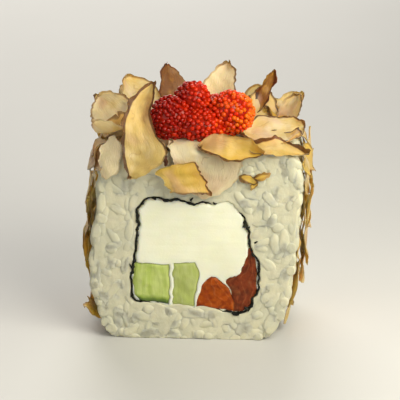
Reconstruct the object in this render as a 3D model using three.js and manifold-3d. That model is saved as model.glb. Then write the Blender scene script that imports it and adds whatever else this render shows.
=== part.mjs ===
// One slice of an inside-out sushi roll, standing on its uncut side with its cut faces front and back.
// Sushi rice wraps a sheet of seaweed, which wraps soft cheese, two cucumber sticks and two strips of salmon.
// A bed of dried-fish shavings lies on top, larger shavings curl out of it and cling to the sides,
// and a clump of small red roe sits in the middle.
// Millimetres. X runs across the cut face, Y from the front cut to the back cut, Z up from the resting face.
import * as THREE from "three";
import { mergeVertices } from "three/addons/utils/BufferGeometryUtils.js";
import Module from "manifold-3d";

const wasm = await Module();
wasm.setup();

// Driving sizes
const THICKNESS = 25;
const FRONT = -THICKNESS / 2;
const GAP = 0.3;
const SEAWEED = 0.5;

// The slice's outline on the cut face, anticlockwise from the bottom left, trimmed flat at Z = 0
const RICE_OUTLINE = [
  [-13.5, -0.4], [0, -0.4], [11.5, -0.4], [15.6, 2.4], [18, 8.5], [19.2, 17],
  [20, 27], [19.9, 35], [16.8, 38.1], [6, 38.3], [-5, 38], [-14, 37.8],
  [-17.9, 35], [-18.8, 28.5], [-19.8, 21], [-20.2, 14.5], [-19.5, 7.5], [-17.4, 2.2],
];

// The seaweed's middle line, anticlockwise from the bottom left, with the slumped corner at the upper right
const SEAWEED_LINE = [
  [-11, 7.9], [-4.5, 7.2], [2, 6.9], [8.6, 5.7], [11, 7.4], [12.2, 11.5],
  [12.1, 16.5], [10.4, 20.5], [9.6, 24.6], [6.8, 28.3], [3, 28.4], [-2, 28.6],
  [-8, 29.3], [-10.6, 27.6], [-11.1, 21], [-11.9, 15.5], [-12.4, 11],
];

// Sections of what lies inside the seaweed, under the cheese
const CUCUMBER_SECTIONS = {
  cucumber_stick_left: [[-12.2, 7.4], [-5, 7.2], [-4.9, 11.5], [-5.1, 15.7], [-12.2, 16]],
  cucumber_stick_right: [
    [-4.1, 7], [-0.1, 7], [0.2, 9.4], [0.7, 11.8], [0.8, 14.2], [-0.1, 16.1], [-3.9, 15.9],
  ],
};
const SALMON_SECTIONS = {
  salmon_strip_low: [
    [0.4, 6.4], [7, 5.6], [7, 8.5], [6.4, 10.2], [5.5, 11.7],
    [4.1, 13.1], [2.9, 13.1], [1.9, 12.3], [1, 10.6],
  ],
  salmon_strip_side: [
    [7.5, 5.6], [12, 5.8], [12.6, 12], [12.4, 17], [10.6, 19.4],
    [9.7, 17], [8.7, 14.2], [5.7, 12.3], [6.85, 10.4], [7.5, 8.5],
  ],
};

// Cooked grains: their size, how many show on each face of the slice, and how far they stand out
const GRAIN = { length: 5.6, width: 2.5, thickness: 2.2 };
const GRAINS_ON_A_CUT = 30;
const GRAINS_ON_A_SIDE = 9;
const GRAIN_PROUD_OF_CUT = 0.4;
const GRAIN_PROUD_OF_SIDE = 0.7;

// The roe clump's lumps: centre and radius on each axis
const ROE_LUMPS = [
  { at: [-4.6, -6.6, 43.2], size: [5, 4.6, 4.6] },
  { at: [-0.8, -4.4, 46.4], size: [3.6, 3.6, 3.9] },
  { at: [6.4, -5, 44.2], size: [4.8, 4.4, 4.4] },
  { at: [0.6, -7.6, 42.4], size: [5.4, 4.2, 3.4] },
  { at: [2.4, -1.6, 43], size: [5, 4.2, 3.6] },
];
const EGG_RADIUS = 0.85;
const EGGS_PER_LUMP = 17;

// Shavings: how thick they are, the room round them, and the blanket that the bed's smaller ones grow out of
const SHAVING = 0.5;
const SHAVING_GAP = 0.45;
const BLANKET = { halfWidth: 17, halfDepth: 11.6, thickness: 1 };

// The largest shavings on top, with their middles at "at". "turn" is spin about Z, lift of the far end, roll.
// "bend" is how far they turn along their length: evenly, or near their middle where "fold" is given.
// "edges" are their half widths on each side at even steps from the near end to the far one.
const TOP_SHAVINGS = {
  petal_left: {
    at: [-10.4, -12.5, 42.9], turn: [60, 64, 24], length: 19.4, width: 7, bend: -40, bow: 0.1,
    edges: [[0.4, 4.6, 6.2, 3.2, 1.3, 1.2, 0.4], [0.3, 1.6, 2.8, 3.2, 3.3, 2.6, 0.4]],
  },
  drape_front: {
    at: [2.2, -12.3, 38.9], turn: [92, 45, 4], length: 19, width: 13.4, bend: -90, fold: 0.22,
  },
  amber_front: {
    at: [-1.9, -14.8, 34.3], turn: [90, 84, 0], length: 6.4, width: 9.6, bend: -12,
    edges: [[5, 4.6, 4.2, 3.7, 3.1, 2.6, 2.1], [2.6, 3.2, 3.9, 4.6, 5.4, 3, -1.7]],
  },
  lens_front: { at: [6.8, -13.6, 39.7], turn: [-6, -4, 48], length: 12.4, width: 5.2, bend: -26, bow: 0.1 },
  lens_right: { at: [15.6, -12.2, 39.4], turn: [4, -5, 40], length: 12, width: 4.2, bend: -18, bow: 0.1 },
  broad_right: { at: [14.6, -6.6, 40.9], turn: [14, 4, 16], length: 12.6, width: 9.6, bend: 16, bow: 0.1 },
  upright_right: {
    at: [12.8, 5.6, 45], turn: [38, 60, 30], length: 11, width: 2.8, bend: 30, bow: 0.2, twist: 26,
  },
  petal_back: { at: [-5.8, 6.6, 45.2], turn: [100, 60, 30], length: 11, width: 6, bend: -30, bow: 0.1 },
  curl_back: { at: [4.4, 6.2, 45.4], turn: [84, 62, -10], length: 12, width: 7, bend: -34, bow: 0.12 },
  wing_left: { at: [-16.2, -2, 42], turn: [118, 26, -34], length: 13, width: 8, bend: 30, bow: 0.12 },
  fold_left: { at: [-10.4, 2.6, 43.8], turn: [140, 30, -10], length: 14, width: 8, bend: 28, bow: 0.15 },
  drape_back: { at: [-9, 12.9, 39], turn: [-86, 45, 0], length: 15, width: 9.6, bend: -90, fold: 0.25 },
  drape_right: { at: [19.9, 4.6, 38.3], turn: [6, -42, 0], length: 13, width: 8, bend: -74, fold: 0.4 },
  drape_left: {
    at: [-18.6, -7.2, 38.3], turn: [186, -42, 0], length: 12, width: 8.4, bend: -74, fold: 0.4,
  },
};

// The smaller shavings of the bed, round the roe: they lean outwards and curl up at their ends
const BED_SHAVINGS = [
  { at: [-15.6, -8.4, 40.8], turn: [214, 24, 26], length: 11, width: 7, bend: 44, bow: 0.1 },
  { at: [-16.6, 4.2, 41], turn: [168, 30, -16], length: 11, width: 7, bend: 44, bow: 0.12 },
  { at: [-13.2, 8.8, 41.2], turn: [128, 34, 18], length: 11, width: 7, bend: 44, bow: 0.12 },
  { at: [-11.6, 4.6, 41.6], turn: [200, 34, -12], length: 11, width: 6.5, bend: 40, bow: 0.12 },
  { at: [-5, 8.8, 41.2], turn: [60, 32, -20], length: 11, width: 6.5, bend: 40, bow: 0.12 },
  { at: [2.5, 9, 41.2], turn: [130, 34, 24], length: 11, width: 6.5, bend: 44, bow: 0.12 },
  { at: [9.6, 8.8, 41.2], turn: [50, 32, -18], length: 11, width: 7, bend: 40, bow: 0.12 },
  { at: [13, 4, 41.4], turn: [110, 34, 10], length: 12, width: 7, bend: 40, bow: 0.12 },
  { at: [16.4, 7.4, 41], turn: [24, 28, 22], length: 11, width: 6.5, bend: 44, bow: 0.12 },
  { at: [17.6, 1.6, 41.2], turn: [70, 34, -30], length: 12, width: 7, bend: 30, bow: 0.12 },
  { at: [16.8, -8.6, 40.4], turn: [-36, 14, 16], length: 9, width: 5.5, bend: 40, bow: 0.1 },
];

// The shavings that cling to the sides: the angle round the slice, the place across it, the lift off the rice
const SIDE_SHAVINGS = {
  side_right_1: { angle: -29, y: -6.2, lift: 1.2, turn: [-9, 0, 0], length: 15.5, width: 8.4, bend: 6 },
  side_right_2: { angle: -13, y: 5.4, lift: 1.2, turn: [13, 0, 0], length: 18.5, width: 10, bend: 6 },
  side_right_3: { angle: 8, y: -5.2, lift: 2.1, turn: [8, 2, 0], length: 17.5, width: 9.4, bend: 12 },
  side_right_4: { angle: 31, y: 6, lift: 2.1, turn: [-16, 4, 0], length: 13.5, width: 8.4, bend: 14 },
  side_right_5: { angle: 35, y: -6.4, lift: 1.2, turn: [24, 4, 0], length: 11.5, width: 7.4, bend: 4 },
  side_left_1: { angle: 206, y: 5.8, lift: 1.2, turn: [10, 0, 0], length: 15.5, width: 8.8, bend: 4 },
  side_left_2: { angle: 199, y: -5.4, lift: 1.2, turn: [-12, 0, 0], length: 18, width: 9.2, bend: 8 },
  side_left_3: { angle: 175, y: 4.6, lift: 2.1, turn: [-7, -2, 0], length: 18, width: 9.8, bend: 12 },
  side_left_4: { angle: 162, y: -6, lift: 2.1, turn: [14, 3, 0], length: 15, width: 7.8, bend: 16 },
  side_left_5: { angle: 147, y: 6.4, lift: 1.2, turn: [20, 0, 0], length: 12, width: 7.2, bend: 4 },
};

// Colours and finishes
const FINISHES = {
  rice: { color: 0xe6e2c6, roughness: 0.5 },
  seaweed: { color: 0x14170f, roughness: 0.6 },
  cheese: { color: 0xf8f5d2, roughness: 0.45 },
  cucumber: { color: 0xaebd68, roughness: 0.3 },
  salmon: { color: 0xa9501f, roughness: 0.3 },
  roe: { color: 0xd2300f, roughness: 0.2 },
  shaving: { color: 0xdcb878, roughness: 0.6 },
};

const radians = THREE.MathUtils.degToRad;

// An even, repeatable scatter: the n-th number of a sequence from 0 to 1, one sequence for each channel
function scatter(n, channel) {
  const steps = [0.6180339887, 0.7548776662, 0.5698402910, 0.8191725134, 0.6710436067];
  return ((n + 0.5) * steps[channel % steps.length] + channel * 0.137) % 1;
}

// Solids to and from three.js geometry
function solidOf(geometry) {
  const bare = geometry.clone();
  bare.deleteAttribute("normal");
  bare.deleteAttribute("uv");
  const merged = mergeVertices(bare, 1e-4);
  return new wasm.Manifold(
    new wasm.Mesh({
      numProp: 3,
      vertProperties: new Float32Array(merged.attributes.position.array),
      triVerts: new Uint32Array(merged.index.array),
    }),
  );
}

function geometryOf(solid) {
  const { vertProperties, triVerts } = solid.getMesh();
  const geometry = new THREE.BufferGeometry();
  geometry.setAttribute("position", new THREE.BufferAttribute(vertProperties, 3));
  geometry.setIndex(new THREE.BufferAttribute(triVerts, 1));
  geometry.computeVertexNormals();
  return geometry;
}

function joined(solids) {
  return solids.reduce((whole, next) => whole.add(next));
}

// The largest body of a solid, without the scraps that a cut leaves
function largestBody(solid) {
  return solid.decompose().sort((a, b) => b.volume() - a.volume())[0];
}

// Loops on the cut face, as lists of Vector2 (X, Z)
function smoothLoop(points, grow = 0, steps = 60) {
  const knots = points.map(([x, z]) => new THREE.Vector3(x, 0, z));
  const curve = new THREE.CatmullRomCurve3(knots, true, "catmullrom", 0.5);
  return Array.from({ length: steps }, (_, i) => {
    const point = curve.getPoint(i / steps);
    const along = curve.getTangent(i / steps);
    return new THREE.Vector2(point.x + grow * along.z, point.z - grow * along.x);
  });
}

// A polygon with its corners moved outwards, so that each side moves by "grow"
function polygon(points, grow = 0) {
  return points.map(([x, z], i) => {
    const before = new THREE.Vector2(...points[(i + points.length - 1) % points.length]);
    const after = new THREE.Vector2(...points[(i + 1) % points.length]);
    const here = new THREE.Vector2(x, z);
    const sideIn = here.clone().sub(before).normalize();
    const sideOut = after.sub(here).normalize();
    const outIn = new THREE.Vector2(sideIn.y, -sideIn.x);
    const outOut = new THREE.Vector2(sideOut.y, -sideOut.x);
    const mitre = outIn.add(outOut).normalize();
    const reach = grow / Math.max(0.5, mitre.dot(outOut));
    return here.addScaledVector(mitre, reach);
  });
}

// A loop run from one Y to another
function extruded(loop, holes = [], from = FRONT, to = -FRONT) {
  const shape = new THREE.Shape(loop);
  shape.holes = holes.map((hole) => new THREE.Path(hole));
  const geometry = new THREE.ExtrudeGeometry(shape, { depth: to - from, bevelEnabled: false, steps: 1 });
  geometry.rotateX(Math.PI / 2);
  geometry.translate(0, to, 0);
  return solidOf(geometry);
}

function ellipsoid([x, y, z], [a, b, c], turn, around, down) {
  const geometry = new THREE.SphereGeometry(1, around, down);
  geometry.scale(a, b, c);
  geometry.applyMatrix4(new THREE.Matrix4().makeRotationFromEuler(turn));
  geometry.translate(x, y, z);
  return solidOf(geometry);
}

// Where a ray from the middle of the slice leaves the rice, and the outward direction there
function riceSurface(angle) {
  const middle = new THREE.Vector2(0, 19);
  const ray = new THREE.Vector2(Math.cos(angle), Math.sin(angle));
  const loop = smoothLoop(RICE_OUTLINE, 0, 144);
  let best = { reach: 0, out: ray };
  loop.forEach((from, i) => {
    const to = loop[(i + 1) % loop.length];
    const side = to.clone().sub(from);
    const start = from.clone().sub(middle);
    const cross = ray.x * side.y - ray.y * side.x;
    const reach = (start.x * side.y - start.y * side.x) / cross;
    const share = (start.x * ray.y - start.y * ray.x) / cross;
    if (reach > best.reach && share >= 0 && share <= 1) {
      best = { reach, out: new THREE.Vector2(side.y, -side.x).normalize() };
    }
  });
  return { point: middle.addScaledVector(ray, best.reach), out: best.out };
}

// How far a shaving's middle line has turned at u, from -1 to 1 along it
function heading(u, { bend = 0, fold = 0 }) {
  return (radians(bend) / 2) * (fold ? Math.tanh(u / fold) / Math.tanh(1 / fold) : u);
}

// The middle line's point at u, measured from the line's own middle
function spine(u, shape, steps = 16) {
  const point = new THREE.Vector3();
  const step = (u * shape.length) / 2 / steps;
  for (let k = 0; k < steps; k++) {
    const turned = heading((u * (k + 0.5)) / steps, shape);
    point.x += step * Math.cos(turned);
    point.z += step * Math.sin(turned);
  }
  return point;
}

// A value at u, from -1 to 1, of a list that is spaced evenly over that range
function sampled(values, u) {
  const place = ((u + 1) / 2) * (values.length - 1);
  const before = Math.min(Math.floor(place), values.length - 2);
  return THREE.MathUtils.lerp(values[before], values[before + 1], place - before);
}

// A shaving: a thin sheet with ragged, narrowing ends, bent along its length, bowed across and twisted.
// It is worked out about its own middle and then set in place by a matrix. "grow" thickens it on every side.
function shaving(shape, place, grow = 0, along = 6, across = 3) {
  const { length, width, edges, bow = 0, twist = 0, seed = length + width } = shape;
  const stretch = 1 + (2 * grow) / length;
  const halfWidths = (u) => {
    if (edges) return edges.map((side) => sampled(side, u) + grow);
    const ragged = 1 + 0.13 * Math.sin(5 * u + 2.3 * seed) + 0.05 * Math.sin(11 * u + seed);
    const narrowing = Math.max(0.16, (1 - Math.abs(u) ** 2.4) ** 0.6);
    const half = (width / 2) * narrowing * ragged + grow;
    return [half, half];
  };
  const point = (u, v, side) => {
    const turned = heading(u * stretch, shape);
    const forward = spine(u * stretch, shape);
    const [before, after] = halfWidths(u);
    const sideways = (after * (1 + v) - before * (1 - v)) / 2;
    const roll = radians(twist) * u;
    const up = new THREE.Vector3(-Math.sin(turned), 0, Math.cos(turned));
    const over = new THREE.Vector3(0, Math.cos(roll), 0).addScaledVector(up, Math.sin(roll));
    const face = up.clone().multiplyScalar(Math.cos(roll)).add(new THREE.Vector3(0, -Math.sin(roll), 0));
    const cupped = bow * width * (v * v - 0.3) + 0.25 * Math.sin(4 * u + seed) * v;
    const height = cupped + side * (SHAVING / 2 + grow);
    return forward.addScaledVector(over, sideways).addScaledVector(face, height);
  };
  const corners = [];
  const faces = [];
  const index = (i, j, side) => side * (along + 1) * (across + 1) + i * (across + 1) + j;
  for (const side of [0, 1]) {
    for (let i = 0; i <= along; i++) {
      for (let j = 0; j <= across; j++) {
        corners.push(...point((2 * i) / along - 1, (2 * j) / across - 1, 2 * side - 1).toArray());
      }
    }
  }
  const quad = (a, b, c, d) => faces.push(a, b, c, a, c, d);
  for (let i = 0; i < along; i++) {
    for (let j = 0; j < across; j++) {
      quad(index(i, j, 1), index(i + 1, j, 1), index(i + 1, j + 1, 1), index(i, j + 1, 1));
      faces.push(index(i, j, 0), index(i + 1, j + 1, 0), index(i + 1, j, 0));
      faces.push(index(i, j, 0), index(i, j + 1, 0), index(i + 1, j + 1, 0));
    }
    quad(index(i, 0, 0), index(i + 1, 0, 0), index(i + 1, 0, 1), index(i, 0, 1));
    quad(index(i + 1, across, 0), index(i, across, 0), index(i, across, 1), index(i + 1, across, 1));
  }
  for (let j = 0; j < across; j++) {
    quad(index(0, j + 1, 0), index(0, j, 0), index(0, j, 1), index(0, j + 1, 1));
    quad(index(along, j, 0), index(along, j + 1, 0), index(along, j + 1, 1), index(along, j, 1));
  }
  const geometry = new THREE.BufferGeometry();
  geometry.setAttribute("position", new THREE.Float32BufferAttribute(corners, 3));
  geometry.setIndex(faces);
  geometry.applyMatrix4(place);
  return solidOf(geometry);
}

// The matrix of a shaving's own turn: spin about Z, then lift of its far end, then roll about its length
function turned([spin, lift, roll]) {
  return new THREE.Matrix4().makeRotationFromEuler(
    new THREE.Euler(radians(roll), radians(-lift), radians(spin), "ZYX"),
  );
}

function placedFreely({ at, turn }) {
  return turned(turn).setPosition(...at);
}

// The same, lying on the rice at an angle round the slice, where its face looks outwards
function placedOnRice({ angle, y, lift, turn }) {
  const { point, out } = riceSurface(radians(angle));
  const basis = new THREE.Matrix4().makeBasis(
    new THREE.Vector3(out.y, 0, -out.x),
    new THREE.Vector3(0, 1, 0),
    new THREE.Vector3(out.x, 0, out.y),
  );
  return basis.multiply(turned(turn)).setPosition(point.x + out.x * lift, y, point.y + out.y * lift);
}

// Sushi rice: a ring with bumps of the grains' size on its cut faces and sides
function insideRing(x, z, margin) {
  const outside = (loop) => {
    let inside = false;
    loop.forEach((a, i) => {
      const b = loop[(i + 1) % loop.length];
      if (a.y > z !== b.y > z && x < ((b.x - a.x) * (z - a.y)) / (b.y - a.y) + a.x) inside = !inside;
    });
    return !inside;
  };
  return !outside(smoothLoop(RICE_OUTLINE, -margin)) && outside(smoothLoop(SEAWEED_LINE, margin));
}

function grain(at, turn) {
  const { length, width, thickness } = GRAIN;
  return ellipsoid(at, [length / 2, width / 2, thickness / 2 / Math.sin(Math.PI / 3)], turn, 6, 4);
}

function grainsOnCut(side) {
  const found = [];
  for (let n = 0; found.length < GRAINS_ON_A_CUT; n++) {
    const x = 42 * scatter(n, 0) - 21;
    const z = 39 * scatter(n, 1);
    if (!insideRing(x, z, 1.9)) continue;
    const y = side * (THICKNESS / 2 + GRAIN_PROUD_OF_CUT - GRAIN.thickness / 2);
    found.push(grain([x, y, z], new THREE.Euler(Math.PI / 2, 0, Math.PI * scatter(n, 2), "XYZ")));
  }
  return found;
}

function grainsOnSide(start) {
  return Array.from({ length: GRAINS_ON_A_SIDE }, (_, n) => {
    const angle = start + radians(76) * (scatter(n, 0) - 0.5);
    const { point, out } = riceSurface(angle);
    const { x, y: z } = point.addScaledVector(out, GRAIN_PROUD_OF_SIDE - GRAIN.thickness / 2);
    const y = (THICKNESS - 5) * (scatter(n, 1) - 0.5);
    return grain([x, y, z], new THREE.Euler(0, Math.PI / 2, Math.PI * scatter(n, 2), "XYZ"));
  });
}

function makeRice(shavings) {
  const hole = smoothLoop(SEAWEED_LINE, SEAWEED / 2 + GAP);
  const ring = extruded(smoothLoop(RICE_OUTLINE), [hole]);
  const grains = [...grainsOnCut(-1), ...grainsOnCut(1), ...grainsOnSide(0), ...grainsOnSide(Math.PI)];
  const bore = extruded(hole, [], 2 * FRONT, -2 * FRONT);
  const whole = joined([ring, ...grains]).subtract(bore).subtract(joined(shavings));
  return largestBody(whole.trimByPlane([0, 0, 1], 0));
}

// The seaweed: one closed turn of a thin sheet
function makeSeaweed() {
  return extruded(smoothLoop(SEAWEED_LINE, SEAWEED / 2), [smoothLoop(SEAWEED_LINE, -SEAWEED / 2)]);
}

// The filling: the sticks and strips are cut to the seaweed, and the cheese fills what is left above them
function fillingSpace() {
  return extruded(smoothLoop(SEAWEED_LINE, -SEAWEED / 2 - GAP));
}

function makeStick(section) {
  return fillingSpace().intersect(extruded(polygon(section)));
}

function makeCheese() {
  const sections = Object.values({ ...CUCUMBER_SECTIONS, ...SALMON_SECTIONS });
  const around = sections.map((section) => extruded(polygon(section, GAP), [], 2 * FRONT, -2 * FRONT));
  return largestBody(fillingSpace().subtract(joined(around)));
}

// The roe: lumps with eggs standing out of them. "grow" makes the space that other pieces keep clear of.
function makeRoe(grow = 0) {
  const upright = new THREE.Euler();
  const lumps = ROE_LUMPS.map(({ at, size }) =>
    ellipsoid(at, size.map((r) => r - EGG_RADIUS * 0.5 + grow), upright, 10, 7),
  );
  if (grow > 0) return joined(lumps.concat(ROE_LUMPS.map(({ at, size }) =>
    ellipsoid(at, size.map((r) => r + EGG_RADIUS * 0.6 + grow), upright, 10, 7),
  )));
  const eggs = ROE_LUMPS.flatMap(({ at, size }, lump) =>
    Array.from({ length: EGGS_PER_LUMP }, (_, n) => {
      const height = 1 - (2 * (n + 0.5)) / EGGS_PER_LUMP;
      const round = n * Math.PI * (3 - Math.sqrt(5)) + lump;
      const flat = Math.sqrt(1 - height * height);
      const outward = [flat * Math.cos(round), flat * Math.sin(round), height];
      return outward.map((r, k) => at[k] + r * size[k] * 0.97);
    }),
  );
  const shows = (egg) =>
    ROE_LUMPS.every(({ at, size }) => Math.hypot(...egg.map((p, k) => (p - at[k]) / size[k])) > 0.9);
  const shown = eggs.filter((egg) => egg[2] > 41 && shows(egg));
  const balls = shown.map((egg) => ellipsoid(egg, [EGG_RADIUS, EGG_RADIUS, EGG_RADIUS], upright, 5, 4));
  return joined([...lumps, ...balls]);
}

// The bed: a blanket on top of the rice with smaller shavings fused to it
function makeBed(grow = 0) {
  const { halfWidth, halfDepth, thickness } = BLANKET;
  const loop = smoothLoop(RICE_OUTLINE);
  const top = loop.filter((p) => p.y > 37 && Math.abs(p.x) < halfWidth).sort((a, b) => a.x - b.x);
  const under = top.map((p) => new THREE.Vector2(p.x, p.y + GAP - grow));
  const over = top.map((p) => new THREE.Vector2(p.x, p.y + GAP + thickness + grow)).reverse();
  const blanket = extruded([...under, ...over], [], -halfDepth - grow, halfDepth + grow);
  const small = BED_SHAVINGS.map((shape, n) =>
    shaving({ ...shape, seed: n }, placedFreely(shape), grow, 4, 2),
  );
  return joined([blanket, ...small]);
}

// Assembly: roe first, then the large shavings, the bed and the rice, each cut clear of those before it
const pieces = { roe_clump: [makeRoe(), "roe"] };
let taken = makeRoe(GAP);
for (const [name, shape] of Object.entries({ ...TOP_SHAVINGS, ...SIDE_SHAVINGS })) {
  const place = shape.at ? placedFreely(shape) : placedOnRice(shape);
  const solid = largestBody(shaving(shape, place).subtract(taken));
  pieces[`shaving_${name}`] = [solid, "shaving"];
  taken = taken.add(shaving(shape, place, SHAVING_GAP));
}
pieces.shaving_bed = [largestBody(makeBed().subtract(taken)), "shaving"];
pieces.rice_ring = [makeRice([makeBed(SHAVING_GAP), taken]), "rice"];
pieces.seaweed_sheet = [makeSeaweed(), "seaweed"];
pieces.soft_cheese = [makeCheese(), "cheese"];
for (const [name, section] of Object.entries(CUCUMBER_SECTIONS)) {
  pieces[name] = [makeStick(section), "cucumber"];
}
for (const [name, section] of Object.entries(SALMON_SECTIONS)) {
  pieces[name] = [makeStick(section), "salmon"];
}

const slice = new THREE.Group();
for (const [name, [solid, finish]] of Object.entries(pieces)) {
  const material = new THREE.MeshStandardMaterial({ ...FINISHES[finish], metalness: 0 });
  const mesh = new THREE.Mesh(geometryOf(solid), material);
  mesh.name = name;
  slice.add(mesh);
}

export default slice;
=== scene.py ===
"""One slice of an inside-out sushi roll, with dried-fish shavings and a clump of roe on top.

Lengths are in millimetres until a mesh is made. X runs across the cut face, Y from the front cut to the back.
"""
import math
import random

import bpy
import numpy as np
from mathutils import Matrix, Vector


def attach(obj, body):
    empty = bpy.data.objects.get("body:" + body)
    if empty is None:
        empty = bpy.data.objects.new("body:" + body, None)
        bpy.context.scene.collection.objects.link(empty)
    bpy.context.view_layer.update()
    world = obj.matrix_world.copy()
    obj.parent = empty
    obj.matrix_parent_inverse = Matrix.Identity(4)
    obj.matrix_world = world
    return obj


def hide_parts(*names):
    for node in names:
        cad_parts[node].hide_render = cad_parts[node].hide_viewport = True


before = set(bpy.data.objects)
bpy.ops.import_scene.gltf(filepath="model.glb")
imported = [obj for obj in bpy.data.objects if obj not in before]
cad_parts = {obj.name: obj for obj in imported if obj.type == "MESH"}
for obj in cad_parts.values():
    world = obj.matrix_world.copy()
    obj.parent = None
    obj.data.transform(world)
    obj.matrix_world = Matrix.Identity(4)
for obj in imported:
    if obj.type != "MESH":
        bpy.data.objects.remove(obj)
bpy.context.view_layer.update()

MM = 0.001

# The slice
FRONT, BACK = -12.5, 12.5
MIDDLE = np.array([0.0, 18.0])
TOP = 38.3

RICE_OUTLINE = [
    (-13.5, -0.4), (0, -0.4), (11.5, -0.4), (15.6, 2.4), (18, 8.5), (19.2, 17), (20, 27), (19.9, 35),
    (16.8, 38.1), (6, 38.3), (-5, 38), (-14, 37.8), (-17.9, 35), (-18.8, 28.5), (-19.8, 21), (-20.2, 14.5),
    (-19.5, 7.5), (-17.4, 2.2),
]
SEAWEED_LINE = [
    (-11, 7.9), (-4.5, 7.2), (2, 6.9), (8.6, 5.7), (11, 7.4), (12.2, 11.5), (12.1, 16.5), (10.4, 20.5),
    (9.6, 24.6), (6.8, 28.3), (3, 28.4), (-2, 28.6), (-8, 29.3), (-10.6, 27.6), (-11.1, 21), (-11.9, 15.5),
    (-12.4, 11),
]
# What lies in the cheese: the left and the right edge of each section, from the bottom up
SECTIONS = {
    "cucumber_stick_left": (
        [(-10.9, 7.9), (-11.8, 9.4), (-12.1, 12), (-11.9, 14.4), (-11.6, 15.9)],
        [(-5.0, 7.3), (-4.95, 9.4), (-4.9, 11.5), (-4.95, 13.6), (-5.1, 15.7)],
    ),
    "cucumber_stick_right": (
        [(-4.35, 7.2), (-4.4, 9.4), (-4.25, 11.6), (-4.35, 13.8), (-4.1, 15.9)],
        [(-0.1, 7.0), (0.1, 9.4), (0.55, 11.8), (0.8, 14.2), (-0.1, 16.1)],
    ),
    "salmon_strip_low": (
        [(0.2, 6.9), (0.5, 8.6), (1.0, 10.4), (1.7, 12.0), (3.0, 13.2)],
        [(7.5, 6.1), (7.5, 8.5), (6.8, 10.2), (5.7, 11.7), (4.0, 13.1)],
    ),
    "salmon_strip_side": (
        [(7.3, 6.0), (7.4, 8.5), (6.9, 10.3), (5.9, 12.4), (8.7, 14.2), (9.7, 17.0), (10.4, 19.4)],
        [(9.4, 6.1), (11.0, 7.8), (11.9, 10.6), (12.0, 13.0), (11.9, 15.4), (11.6, 17.4), (10.8, 19.5)],
    ),
}

# A grain's length, width and thickness, and how far apart grains lie
GRAIN = (5.6, 2.5, 2.2)
CUT_GRAIN_SPACING, OUTSIDE_GRAIN_SPACING = 1.5, 2.05

# An egg's radius, how far apart eggs lie, the area for each one tried, and the clump's foot
EGG_RADIUS, EGG_SPACING, EGG_AREA, ROE_FOOT = 0.46, 0.70, 0.69, 38.9

# A shaving's thickness, and how far from the roe it is still stained and painted with shade
SHEET, STAIN_AND_SHADE_REACH = 0.13, 5

# How finely sheets and strips are divided, along and across, and how many loose shavings there are
LARGE_GRID, BED_GRID, HEAP_GRID, SCRAP_GRID, STRIP_GRID = (56, 30), (44, 24), (26, 14), (24, 12), (34, 26)
HEAP_COUNT, SCRAP_COUNT = 52, 34

# The lumps of the roe: their middles and half sizes
ROE_LUMPS = np.array([
    ((-4.6, -6.6, 43.2), (5, 4.6, 4.6)),
    ((-0.8, -4.4, 46.4), (3.6, 3.6, 3.9)),
    ((6.4, -5, 44.2), (4.8, 4.4, 4.4)),
    ((0.6, -7.6, 42.4), (5.4, 4.2, 3.4)),
    ((2.4, -1.6, 43), (5, 4.2, 3.6)),
])


def flake(at, turn, length, width, bend, tone, rim, **more):
    """A shaving: middle, turns in degrees, size, bend in degrees, and its tone and rim."""
    return dict(at=at, turn=turn, length=length, width=width, bend=bend, tone=tone, rim=rim, **more)
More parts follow.
